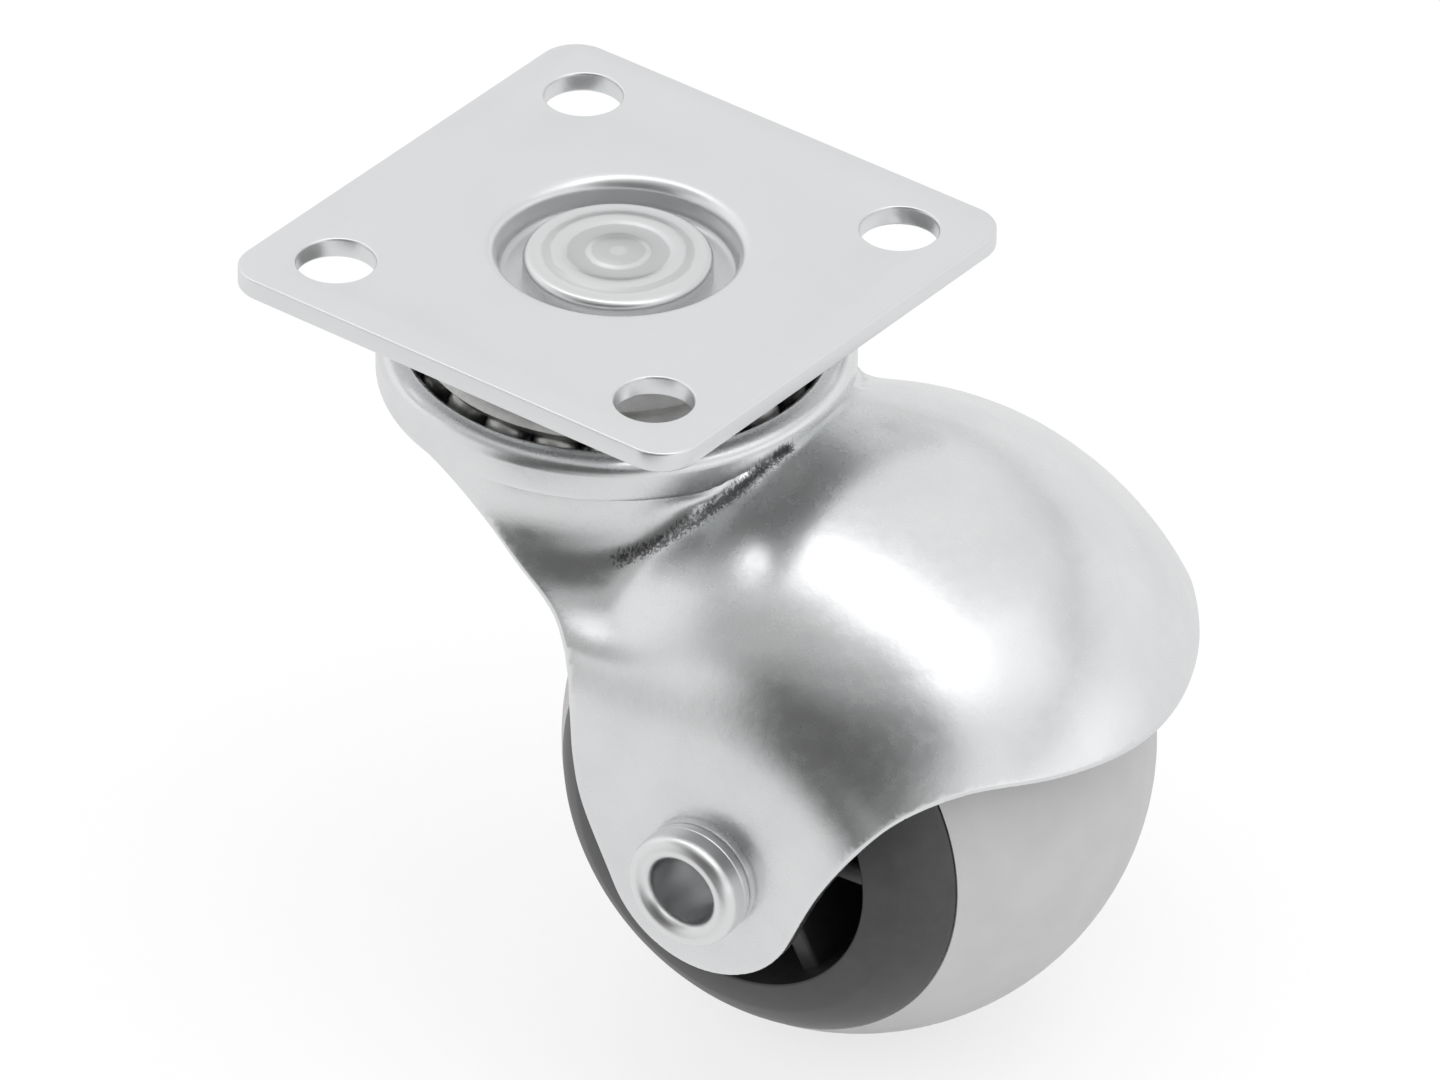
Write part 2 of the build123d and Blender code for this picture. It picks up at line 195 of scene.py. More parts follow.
def modified(mesh: Mesh, kind: str, **settings: object) -> Mesh:
    """Apply one modifier to a mesh.

    Args:
        mesh: The mesh to change.
        kind: The modifier's type.
        settings: The modifier's values.

    Returns:
        A new mesh with the modifier applied.
    """
    holder = shown("workpiece", mesh)
    modifier = holder.modifiers.new(kind, kind)
    for name, value in settings.items():
        setattr(modifier, name, value)
    graph = bpy.context.evaluated_depsgraph_get()
    result = bpy.data.meshes.new_from_object(holder.evaluated_get(graph))
    bpy.data.objects.remove(holder)
    return result


def combined(base: Mesh, how: Join, *tools: Mesh) -> Mesh:
    """Combine solids.

    Args:
        base: The solid to start from.
        how: How each tool is combined with it.
        tools: The other solids.

    Returns:
        The combined solid.
    """
    result = base
    for tool in tools:
        other = shown("tool", tool)
        result = modified(result, "BOOLEAN", operation=how.value, solver="EXACT", object=other)
        bpy.data.objects.remove(other)
    return result


class Value:
    """A shader socket or number that builds nodes when it is calculated with."""

    def __init__(self, recipe: "Recipe", source: object) -> None:
        """Keep the recipe that the nodes belong to and the socket or number."""
        self.recipe = recipe
        self.source = source

    def _math(self, operation: str, *others: object) -> "Value":
        """Add a Math node on this value and others."""
        inputs = {i: item for i, item in enumerate((self, *others))}
        return self.recipe.node("ShaderNodeMath", {"operation": operation}, inputs)

    def __add__(self, other: object) -> "Value":
        """Add."""
        return self._math("ADD", other)

    __radd__ = __add__

    def __sub__(self, other: object) -> "Value":
        """Subtract."""
        return self._math("SUBTRACT", other)

    def __rsub__(self, other: object) -> "Value":
        """Subtract from a number."""
        return Value(self.recipe, other)._math("SUBTRACT", self)

    def __mul__(self, other: object) -> "Value":
        """Multiply."""
        return self._math("MULTIPLY", other)

    __rmul__ = __mul__

    def __truediv__(self, other: object) -> "Value":
        """Divide."""
        return self._math("DIVIDE", other)

    def __pow__(self, other: object) -> "Value":
        """Raise to a power."""
        return self._math("POWER", other)

    def __abs__(self) -> "Value":
        """Drop the sign."""
        return self._math("ABSOLUTE")

    def most(self, other: object) -> "Value":
        """Take the greater of two."""
        return self._math("MAXIMUM", other)

    def least(self, other: object) -> "Value":
        """Take the smaller of two."""
        return self._math("MINIMUM", other)

    def between(self, low: float, high: float) -> "Value":
        """Scale smoothly from 0 at low to 1 at high."""
        settings = {"interpolation_type": "SMOOTHSTEP"}
        return self.recipe.node("ShaderNodeMapRange", settings, {0: self, 1: low, 2: high})


class Recipe:
    """One node tree that a finish is mixed in."""

    def __init__(self, tree: bpy.types.NodeTree) -> None:
        """Start from an empty tree."""
        self.tree = tree
        tree.nodes.clear()

    def node(self, kind: str, settings: dict | None = None, inputs: dict | None = None,
             output: int | str = 0) -> Value:
        """Add a node.

        Args:
            kind: The node's type.
            settings: Its own values, set first; a ramp's stops go under "stops".
            inputs: Values or links by socket name or number.
            output: Which output is returned.

        Returns:
            The output as a value to calculate with.
        """
        made = self.tree.nodes.new(kind)
        for name, setting in (settings or {}).items():
            if name == "stops":
                self._stops(made.color_ramp.elements, setting)
            else:
                setattr(made, name, setting)
        for name, value in (inputs or {}).items():
            source = value.source if isinstance(value, Value) else value
            if isinstance(source, bpy.types.NodeSocket):
                self.tree.links.new(source, made.inputs[name])
            else:
                made.inputs[name].default_value = source
        return Value(self, made.outputs[output] if len(made.outputs) else made)

    @staticmethod
    def _stops(elements: bpy.types.bpy_prop_collection, stops: Sequence[tuple]) -> None:
        """Set a ramp's stops.

        Args:
            elements: The ramp's elements.
            stops: Positions with their colours.
        """
        for position, colour in stops[2:]:
            elements.new(position)
        for element, (position, colour) in zip(elements, stops):
            element.position = position
            element.color = colour

    def place(self) -> Value:
        """Read the object's own coordinates in metres."""
        return self.node("ShaderNodeTexCoord", output="Object")

    def vector(self, operation: str, *inputs: object, output: int | str = 0) -> Value:
        """Add a Vector Math node."""
        return self.node("ShaderNodeVectorMath", {"operation": operation}, dict(enumerate(inputs)), output)

    def noise(self, place: Value, size: float, detail: float = 3.0, rough: float = 0.5) -> Value:
        """Add a noise whose features are about a size in millimetres."""
        inputs = {"Vector": place, "Scale": 1 / (size * MM), "Detail": detail, "Roughness": rough}
        return self.node("ShaderNodeTexNoise", None, inputs)

    def mixed(self, factor: Value, low: object, high: object) -> Value:
        """Mix two colours by a factor.

        Args:
            factor: The share of the second colour.
            low: The first colour.
            high: The second colour.

        Returns:
            The mixed colour.
        """
        low, high = ((*colour, 1.0) if isinstance(colour, tuple) else colour for colour in (low, high))
        factor_socket, low_socket, high_socket, colour_output = 0, 6, 7, 2
        inputs = {factor_socket: factor, low_socket: low, high_socket: high}
        return self.node("ShaderNodeMix", {"data_type": "RGBA"}, inputs, colour_output)

    def along(self, place: object, direction: Sequence[float]) -> Value:
        """Measure a place or direction along another."""
        return self.vector("DOT_PRODUCT", place, tuple(direction), output="Value")

    def near(self, place: Value, start: Vector, end: Vector) -> Value:
        """Measure how far a place is from a straight line between two points.

        Args:
            place: The place in metres.
            start: Where the line starts.
            end: Where it ends.

        Returns:
            The distance in metres.
        """
        run = end - start
        arm = self.vector("SUBTRACT", place, tuple(start))
        share = self.node("ShaderNodeClamp", None, {0: self.along(arm, run / run.length_squared)})
        foot = self.node("ShaderNodeVectorMath", {"operation": "SCALE"}, {0: tuple(run), "Scale": share})
        return self.vector("DISTANCE", arm, foot, output="Value")

    def bump(self, height: Value, depth: float) -> Value:
        """Raise the surface by a height of up to a depth in millimetres."""
        return self.node("ShaderNodeBump", None, {"Height": height, "Distance": depth * MM, "Strength": 1.0})

    def surface(self, **sockets: object) -> None:
        """End the recipe in one shader, with underscores for the spaces in its sockets' names."""
        inputs = {name.replace("_", " "): value for name, value in sockets.items()}
        shader = self.node("ShaderNodeBsdfPrincipled", None, inputs)
        self.node("ShaderNodeOutputMaterial", None, {"Surface": shader})


def new_recipe(name: str) -> tuple[Material, Recipe]:
    """Start a named material and its recipe."""
    material = bpy.data.materials.new(name)
    material.use_nodes = True
    return material, Recipe(material.node_tree)


@dataclass(frozen=True)
class PlatedSheet:
    """Zinc plating on pressed sheet: satin, finely pitted, with painted shade in a recess and along a crease
    where wanted.
    """

    name: str
    pale: Triple = (0.80, 0.808, 0.812)
    dull: Triple = (0.765, 0.775, 0.782)
    # The dark colour of the painted shade in the recess and along the crease.
    grey: Triple = (0.10, 0.10, 0.105)
    metallic: float = 1.0
    rough: float = 0.20
    rough_spread: float = 0.13
    cloud: float = 7.0
    pit: float = 0.75
    grain: float = 0.28
    depth: float = 0.005
    recess_r: float = 0.0
    # Where the painted shade in the recess begins and is full, in millimetres, and its share.
    recess_shade_begins: float = -1.4
    recess_shade_full: float = -2.3
    recess_shade_share: float = 0.2
    # The crease along which shade is painted, the half widths of its dark core and soft edge, and its share.
    crease_shade: tuple[Triple, ...] = ()
    crease_shade_core: float = 0.25
    crease_shade_edge: float = 0.75
    crease_shade_share: float = 0.85
    bristle: float = 1.6

    def recess_shade(self, recipe: Recipe, place: Value) -> Value:
        """Find how much painted shade darkens the recess, towards its floor."""
        low = recipe.along(place, (0, 0, 1)).between(self.recess_shade_begins * MM, self.recess_shade_full * MM)
        radius = recipe.vector("LENGTH", recipe.vector("MULTIPLY", place, (1, 1, 0)), output="Value")
        inside = 1 - radius.between(self.recess_r * MM, (self.recess_r + 0.5) * MM)
        return low * inside * self.recess_shade_share

    def crease_shading(self, recipe: Recipe, place: Value) -> Value:
        """Find how much painted shade darkens the sheet along the crease, with bristly ends across it.

        Args:
            recipe: The recipe that the nodes belong to.
            place: The object's coordinates.

        Returns:
            The share of the dark colour.
        """
        points = [Vector(point) * MM for point in self.crease_shade]
        runs = [recipe.near(place, start, end) for start, end in zip(points, points[1:])]
        away = runs[0]
        for run in runs[1:]:
            away = away.least(run)
        bristles = recipe.noise(recipe.vector("MULTIPLY", place, (1, 1, 0.12)), 0.16, 2.0, 0.5)
        ragged = away + (bristles - 0.5) * (self.bristle * MM)
        return (1 - ragged.between(self.crease_shade_core * MM, self.crease_shade_edge * MM)) * self.crease_shade_share

    def material(self) -> Material:
        """Mix the finish and return its material."""
        material, recipe = new_recipe(self.name)
        place = recipe.place()
        clouds = recipe.noise(place, self.cloud, 3.0, 0.55).between(0.3, 0.7)
        pits = recipe.noise(place, self.pit, 4.0, 0.6)
        grain = recipe.noise(place, self.grain, 3.0, 0.6)
        colour = recipe.mixed(clouds * 0.6 + pits * 0.4, self.dull, self.pale)
        if self.recess_r:
            # Painted shade in the recess, darkest towards its floor.
            colour = recipe.mixed(self.recess_shade(recipe, place), colour, self.grey)
        if self.crease_shade:
            # Painted shade along the crease between the crown's wall and the hood.
            colour = recipe.mixed(self.crease_shading(recipe, place), colour, self.grey)
        recipe.surface(
            Base_Color=colour,
            Metallic=self.metallic,
            Roughness=pits * self.rough_spread + self.rough,
            Normal=recipe.bump(pits + grain * 0.15, self.depth),
        )
        return material


@dataclass(frozen=True)
class TurnedSteel:
    """Plated steel with fine rings round an axis, and broader bands of painted light and shade where wanted.
    """

    name: str
    colour: Triple = (0.80, 0.805, 0.81)
    centre: Triple = (0.0, 0.0, 0.0)
    axis: Triple = (0.0, 0.0, 1.0)
    rough: float = 0.26
    ring: float = 0.22
    ring_depth: float = 0.004
    band_reach: float = 8.0
    shading_bands: tuple[Point, ...] = ((0.0, 1.0), (8.0, 1.0))

    def material(self) -> Material:
        """Mix the finish and return its material."""
        material, recipe = new_recipe(self.name)
        arm = recipe.vector("SUBTRACT", recipe.place(), self.centre)
        off_axis = recipe.vector("CROSS_PRODUCT", arm, self.axis)
        radius = recipe.vector("LENGTH", off_axis, output="Value")
        wobble = recipe.noise(recipe.place(), 1.2, 2.0, 0.5)
        rings = recipe.noise(radius * (1 / (self.ring * MM)) + wobble * 0.6, 1000.0, 3.0, 0.6)
        # The bands paint the light and shade of the head's turned steps into its colour.
        stops = [(reach / self.band_reach, (level, level, level, 1)) for reach, level in self.shading_bands]
        wavy = radius + (wobble - 0.5) * (0.3 * MM)
        share = wavy * (1 / (self.band_reach * MM))
        shade = recipe.node("ShaderNodeValToRGB", {"stops": stops}, {0: share})
        dark = tuple(0.68 * part for part in self.colour)
        recipe.surface(
            Base_Color=recipe.mixed(shade * (rings * 0.16 + 0.92), dark, self.colour),
            Metallic=1.0,
            Roughness=rings * 0.12 + self.rough,
            Normal=recipe.bump(rings, self.ring_depth),
        )
        return material


@dataclass(frozen=True)
class Mottled:
    """Two close tints in soft patches, under a fine grain: greased steel, moulded plastic or rubber."""

    name: str
    dark: Triple
    light: Triple
    rough: float
    rough_spread: float
    patch: Triple
    blend: Point = (0.3, 0.7)
    grain: Triple = (0.12, 2.0, 0.6)
    patch_height: float = 0.0
    depth: float = 0.008
    metallic: float = 0.0
    specular: float = 0.5

    def material(self) -> Material:
        """Mix the finish and return its material."""
        material, recipe = new_recipe(self.name)
        patches = recipe.noise(recipe.place(), *self.patch)
        grain = recipe.noise(recipe.place(), *self.grain)
        recipe.surface(
            Base_Color=recipe.mixed(patches.between(*self.blend), self.dark, self.light),
            Metallic=self.metallic,
            Roughness=patches * self.rough_spread + self.rough,
            Specular_IOR_Level=self.specular,
            Normal=recipe.bump(grain + patches * self.patch_height, self.depth),
        )
        return material


def greased(name: str, dark: float, light: float, rough: float) -> Material:
    """Mix the warm grey steel of the hidden bearing, patchy with grease, between two tints."""
    tints = [(tint, tint - 0.005, tint - 0.02) for tint in (dark, light)]
    return Mottled(name, *tints, rough, 0.25, (1.8, 4.0, 0.6), (0.35, 0.65), (1.8, 4.0, 0.6), 0.0, 0.01,
                   metallic=0.9).material()


class Assembly:
    """Pieces of the castor that ride on one body, drawn in millimetres in a frame of their own."""

    body = "plate"
    home = Matrix.Scale(MM, 4)

    def add(self, name: str, mesh: Mesh, finish: Material, slot: str,
            nodes: Iterable[str], edge: float = 40.0) -> bpy.types.Object:
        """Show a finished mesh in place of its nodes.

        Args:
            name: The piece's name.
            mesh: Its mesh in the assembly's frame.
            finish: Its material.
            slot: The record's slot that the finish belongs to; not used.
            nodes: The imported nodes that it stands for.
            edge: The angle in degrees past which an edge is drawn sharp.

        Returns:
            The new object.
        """
        mesh.name = name
        mesh.transform(self.home)
        mesh.materials.clear()
        mesh.materials.append(finish)
        piece = shown(name, mesh)
        mesh.shade_smooth()
        mesh.set_sharp_from_angle(angle=math.radians(edge))
        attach(piece, self.body)
        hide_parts(*nodes)
        LOG.info("%s: %d faces in place of %s", name, len(mesh.polygons), ", ".join(nodes))
        return piece


@dataclass
class TopPlate(Assembly):
    """Pressed square plate with four holes and a drawn recess."""

    side: float = 38.0
    sheet: float = 1.5
    corner: float = 2.8
    edge: float = 0.4
    hole_spacing: float = 27.0
    hole_r: float = 2.7
    recess_r: float = 8.2
    recess_depth: float = 2.4
    shoulder: float = 1.0
    recess_corner: float = 0.6
    bore: float = 3.05

    def blank(self) -> Mesh:
        """Make the square sheet with round corners."""
        shape = bmesh.new()
        size = Matrix.Diagonal((self.side, self.side, self.sheet, 1))
        bmesh.ops.create_cube(shape, size=1.0, matrix=Matrix.Translation((0, 0, -self.sheet / 2)) @ size)
        posts = [edge for edge in shape.edges
                 if abs(edge.verts[0].co.z - edge.verts[1].co.z) > self.sheet / 2]
        bmesh.ops.bevel(shape, geom=posts, offset=self.corner, offset_type="OFFSET", segments=14,
                        profile=0.5, affect="EDGES", material=-1)
        return meshed(shape, "blank")

    def boss(self) -> Mesh:
        """Make the underside of the drawn recess."""
        radius = self.recess_r + self.sheet
        round_r = self.recess_corner + self.sheet
        floor = -self.recess_depth - self.sheet
        return lathe([(0, -self.sheet / 2), (radius, -self.sheet / 2),
                      *arc((radius - round_r, floor + round_r), round_r, 0, -90), (0, floor)], Axis.UP)

    def recess(self) -> Mesh:
        """Make the space of the recess, with its rounded shoulder."""
        shoulder_r = self.recess_r + self.shoulder
        floor_r = self.recess_r - self.recess_corner
        floor = -self.recess_depth
        return lathe([(0, 1.0), (shoulder_r, 1.0), *arc((shoulder_r, -self.shoulder), self.shoulder, 90, 180),
                      *arc((floor_r, floor + self.recess_corner), self.recess_corner, 0, -90), (0, floor)],
                     Axis.UP)

    def hole(self, x: float, y: float, radius: float) -> Mesh:
        """Make a round cutter through the plate."""
        depth = 3 * (self.recess_depth + self.sheet)
        return moved(disc(radius, depth, -depth, steps=96), Matrix.Translation((x, y, 0)))

    def rounded(self, mesh: Mesh) -> Mesh:
        """Round the sheared edges of the sheet and of its holes.

        Args:
            mesh: The plate with sharp edges.

        Returns:
            The plate with round ones.
        """
        shape = bmesh.new()
        shape.from_mesh(mesh)
        bmesh.ops.remove_doubles(shape, verts=shape.verts, dist=1e-3)
        bmesh.ops.dissolve_limit(shape, angle_limit=math.radians(0.5), verts=shape.verts, edges=shape.edges)
        sharp = sharp_edges(shape, 60)
        bmesh.ops.bevel(shape, geom=sharp, offset=self.edge, offset_type="OFFSET", segments=4,
                        profile=0.5, affect="EDGES", material=-1, clamp_overlap=True)
        return meshed(shape, "plate")

    def build(self, finish: Material) -> None:
        """Build the plate.

        Args:
            finish: The plate's material.
        """
        middle = self.hole_spacing / 2
        holes = [self.hole(x, y, self.hole_r) for x in (-middle, middle) for y in (-middle, middle)]
        plate = combined(self.blank(), Join.ADD, self.boss())
        plate = combined(plate, Join.CUT, self.recess(), self.hole(0, 0, self.bore), *holes)
        self.add("plate_pressing", self.rounded(plate), finish, "zinc_plate", ["top_plate"], 30.0)


@dataclass
class SwivelBearing(Assembly):
    """Kingpin, upper race and thrust washer on the plate."""

    pin_r: float = 3.0
    head_r: float = 6.45
    head_low: float = -2.4
    head_h: float = 1.9
    head_round: float = 0.6
    steps: tuple[float, ...] = (2.0, 3.6, 4.75)
    step_h: float = 0.1
    tail_r: float = 4.6
    tail_top: float = -12.25
    tail_h: float = 1.9
    race_sheet: float = 1.1
    race_hub: float = 7.2
    race_top: float = -3.9
    race_wrap: float = 40.0
    washer_r: float = 7.4
    washer_top: float = -11.15
    washer_t: float = 1.1
    fit: float = 0.05

    def kingpin(self) -> Mesh:
        """Make the solid rivet, its head turned in shallow steps."""
        top = self.head_low + self.head_h
        levels = []
        inner = 0.0
        for i, outer in enumerate((*self.steps, self.head_r - self.head_round)):
            level = top - self.step_h * (i % 2)
            slope = self.step_h * 0.6
            levels += [(inner + (slope if i else 0), level), (outer - slope, level)]
            inner = outer
        side = top - self.step_h - self.head_round
        tail = self.tail_top - self.tail_h
        return lathe([*levels, *arc((self.head_r - self.head_round, side), self.head_round, 90, 0),
                      (self.head_r, self.head_low), (self.pin_r, self.head_low),
                      (self.pin_r, self.tail_top), (self.tail_r, self.tail_top),
                      (self.tail_r, self.tail_top - 0.65), (self.tail_r * 0.8, tail + 0.35),
                      (self.tail_r * 0.45, tail + 0.08), (0, tail)], Axis.UP)

    def race(self) -> Mesh:
        """Make the pressed washer with its groove over the balls."""
        centre = (BALL_CIRCLE_R, BALL_LEVEL)
        outer = GROOVE_R + self.race_sheet
        start, end = 90 + self.race_wrap, 90 - self.race_wrap
        return lathe([(self.pin_r + self.fit, self.race_top), (self.race_hub, self.race_top),
                      *arc(centre, outer, start, end), *arc(centre, GROOVE_R, end, start),
                      (self.race_hub - 0.45, self.race_top - self.race_sheet),
                      (self.pin_r + self.fit, self.race_top - self.race_sheet)], Axis.UP)

    def washer(self) -> Mesh:
        """Make the flat washer over the kingpin's tail."""
        bottom = self.washer_top - self.washer_t
        return disc(self.washer_r, self.washer_top, bottom, inner=self.pin_r + self.fit)

    def build(self, turned: Material, greased: Material) -> None:
        """Build the bearing's fixed pieces.

        Args:
            turned: The kingpin's material.
            greased: The race's and the washer's.
        """
        self.add("kingpin_rivet", self.kingpin(), turned, "turned_steel", ["kingpin"], 50.0)
        self.add("race_pressing", self.race(), greased, "race_steel", ["upper_race"])
        self.add("washer_ring", self.washer(), greased, "race_steel", ["thrust_washer"])


@dataclass
class BallRow(Assembly):
    """The row of balls between the race and the crown."""

    count: int = 20
    ball_r: float = 1.5875
    body = "ball_ring"

    def build(self, finish: Material) -> None:
        """Build the balls as one piece.

        Args:
            finish: The balls' material.
        """
        shape = bmesh.new()
        for i in range(self.count):
            x, y = polar((0, 0), BALL_CIRCLE_R, 360 * i / self.count)
            place = Matrix.Translation((x, y, BALL_LEVEL))
            bmesh.ops.create_uvsphere(shape, u_segments=20, v_segments=12, radius=self.ball_r, matrix=place)
        names = [f"swivel_ball_{i + 1:02d}" for i in range(self.count)]
        self.add("swivel_balls", meshed(shape, "balls"), finish, "ball_steel", names, 180.0)


@dataclass
class HoodYoke(Assembly):
    """Crown, ball hood and two legs, pressed from one sheet."""

    sheet: float = 1.5
    cut_round: float = 0.32
    crown_r: float = 16.3
    crown_top: float = -7.0
    crown_floor: float = -9.6
    lip_w: float = 2.05
    lip_round: float = 1.1
    lip_in_round: float = 0.7
    base_round: float = 1.5
    kingpin_bore: float = 3.05
    hood_r: float = 24.9
    hood_back: float = 0.5
    hood_down: float = 0.5
    half_w: float = 20.1
    flank_blend: float = 8.0
    flare_r: float = 5.5
    flare_level: float = -12.5
    wall_inset: float = 0.02
    wall_overlap: float = 0.9
    leg_end: float = 7.6
    leg_route: tuple[Point, ...] = ((-9.4, 2.1), (-10.25, 5.6), (-10.6, 9.5), (-11.0, 12.4),
                                    (-12.4, 14.4), (-17.2, 17.2), (-22.4, 20.9), (-26.0, 22.2),
                                    (-31.0, 22.7))
    rim_route: tuple[Point, ...] = ((9.15, 1.6), (11.85, 5.85), (14.5, 8.9), (17.6, 10.2),
                                    (21.0, 9.8), (23.6, 9.0))
    axle_hole: float = 3.05
    voxel: float = 0.45
    light_passes: int = 4
    soft_passes: int = 65
    hood_softness: float = 0.4
    neck_level: float = -13.5
    neck_fade: float = 0.3
    body = "yoke"
    home = IN_YOKE

    def barrel_section(self) -> list[Point]:
        """Draw the hood's half section: flat flanks, blends and a sphere."""
        side = self.half_w - self.flank_blend
        out = math.sqrt((self.hood_r - self.flank_blend) ** 2 - side ** 2)
        lean = math.degrees(math.atan2(side, out))
        return [(0, self.half_w), *arc((out, side), self.flank_blend, 90, lean, 4),
                *arc((0, 0), self.hood_r, lean, -lean, 2)[1:-1],
                *arc((out, -side), self.flank_blend, -lean, -90, 4), (0, -self.half_w)]

    def at_hood(self) -> Matrix:
        """Place the middle of the hood's sphere."""
        return Matrix.Translation((TRAIL + self.hood_back, 0, -AXLE_DROP - self.hood_down))

    def through(self) -> Mesh:
        """Carry the hood's section forward from its middle, over the legs."""
        section = ((0, y, z) for z, y in self.barrel_section())
        return moved(carried(section, (-TRAIL - self.crown_r, 0, 0)), self.at_hood())

    def brim(self) -> Mesh:
        """Make the flare that the crown's wall runs out in, with a wide flat foot."""
        out = self.crown_r + self.flare_r
        reach = math.hypot(TRAIL, self.half_w) + 1
        return lathe([(0, self.flare_level), *arc((out, self.flare_level), self.flare_r, 180, 270),
                      (reach, self.flare_level - self.flare_r), (reach, -AXLE_DROP), (0, -AXLE_DROP)],
                     Axis.UP, 180)

    def wall(self) -> Mesh:
        """Make the round wall under the crown, just inside its edge."""
        top = self.crown_floor + self.wall_overlap
        return disc(self.crown_r - self.wall_inset, top, -AXLE_DROP, steps=180)

    def side_outline(self) -> list[Point]:
        """Draw the yoke below its crown, seen from the side, less the rounding of its cut edge."""
        def touch(point: Point, side: int) -> float:
            """Find the angle at which a line from a point touches the leg's end."""
            lean = math.acos(self.leg_end / math.hypot(*point))
            return math.degrees(math.atan2(point[1], point[0]) + side * lean)

        front = touch(self.leg_route[0], 1) - 360
        back = touch(self.rim_route[0], -1)
        beyond = (self.hood_r + self.hood_back + 2, self.rim_route[-1][1] - 2)
        rim = flowing([polar((0, 0), self.leg_end, back), *self.rim_route, beyond])
        leg = flowing([polar((0, 0), self.leg_end, front), *self.leg_route])
        end = arc((0, 0), self.leg_end, front, back, 5)
        line = [Vector(point) for point in [*leg[:0:-1], *end, *rim[1:]]]
        placed = []
        for before, point, after in zip(line, line[1:], line[2:]):
            along = (after - before).normalized()
            inset = point + Vector((-along.y, along.x)) * self.cut_round
            placed.append((TRAIL + inset.x, -AXLE_DROP + inset.y))
        return [*placed, (placed[-1][0], 0), (placed[0][0], 0)]

    def crown(self) -> Mesh:
        """Make the crown: floor, ball groove, folded lip and bore."""
        centre = (BALL_CIRCLE_R, BALL_LEVEL)
        start = 180 - math.degrees(math.asin((self.crown_floor - BALL_LEVEL) / GROOVE_R))
        inner = (self.crown_r - self.lip_w + self.lip_in_round, self.crown_top - self.lip_in_round)
        under = self.crown_floor - self.sheet
        under_r = GROOVE_R + self.sheet
        angle = math.degrees(math.asin((under - BALL_LEVEL) / under_r))
        lip = (self.crown_r - self.lip_round, self.crown_top - self.lip_round)
        base = (self.crown_r - self.base_round, under + self.base_round)
        return lathe([(self.kingpin_bore, self.crown_floor), *arc(centre, GROOVE_R, start, 360),
                      *arc(inner, self.lip_in_round, 180, 90), *arc(lip, self.lip_round, 90, 0),
                      *arc(base, self.base_round, 0, -90), *arc(centre, under_r, angle, -180 - angle),
                      (self.kingpin_bore, under)], Axis.UP, 180)

    def cutters(self) -> list[Mesh]:
        """Make the cutters for the crown's opening and the axle's holes."""
        opening = disc(self.crown_r - 1.1, 0, self.crown_floor - 2)
        reach, hole = 1.5 * self.half_w, self.axle_hole + self.cut_round
        axle = disc(hole, reach, -reach, Axis.AXLE, 64)
        return [opening, moved(axle, Matrix.Translation((TRAIL, 0, -AXLE_DROP)))]

    def softness(self, place: Vector) -> float:
        """Find how much a place is smoothed: nothing at the crown, most in the neck and less on the hood."""
        clear_of_crown = max(self.crown_floor - 1 - place.z, (place.xy.length - self.crown_r - 0.5) / 2)
        neck = self.hood_softness + (self.neck_level - place.z) * self.neck_fade
        return min(clear_of_crown, max(self.hood_softness, min(1.0, neck)))

    def drawn(self, mesh: Mesh) -> Mesh:
        """Run the creases of the drawn sheet together below the crown.

        Args:
            mesh: The remeshed outside in millimetres.

        Returns:
            The outside with drawn forms.
        """
        shape = bmesh.new()
        shape.from_mesh(mesh)
        axes = {"use_axis_x": True, "use_axis_y": True, "use_axis_z": True}
        weights = [self.softness(vert.co) for vert in shape.verts]
        for turn in range(self.light_passes + self.soft_passes):
            least = max(0, turn - self.light_passes) / self.soft_passes
            free = [vert for vert, weight in zip(shape.verts, weights)
                    if weight > least or turn < self.light_passes]
            bmesh.ops.smooth_vert(shape, verts=free, factor=0.5, **axes)
        return meshed(shape, "drawn")

    def skin(self, solid: Mesh) -> Mesh:
        """Trim the outside to the yoke's outline and open it.

        Args:
            solid: The untrimmed outside in millimetres.

        Returns:
            A skin without thickness.
        """
        reach = 2 * self.half_w
        profile = carried(((x, -reach, z) for x, z in self.side_outline()), (0, 2 * reach, 0))
        tools = [profile, *self.cutters()]
        slots = [bpy.data.materials.new(name) for name in ("kept", "cut")]
        for mesh in (solid, *tools):
            for slot in slots:
                mesh.materials.append(slot)
        for tool in tools:
            for polygon in tool.polygons:
                polygon.material_index = 1
        trimmed = combined(combined(solid.copy(), Join.KEEP, tools[0]), Join.CUT, *tools[1:])
        shape = bmesh.new()
        shape.from_mesh(trimmed)
        cut = [face for face in shape.faces if face.material_index == 1]
        bmesh.ops.delete(shape, geom=cut, context="FACES")
        bmesh.ops.remove_doubles(shape, verts=shape.verts, dist=0.05)
        bmesh.ops.dissolve_degenerate(shape, edges=shape.edges, dist=0.02)
        bmesh.ops.triangulate(shape, faces=[face for face in shape.faces if len(face.verts) > 4])
        for slot in slots:
            bpy.data.materials.remove(slot)
        return meshed(shape, "skin")

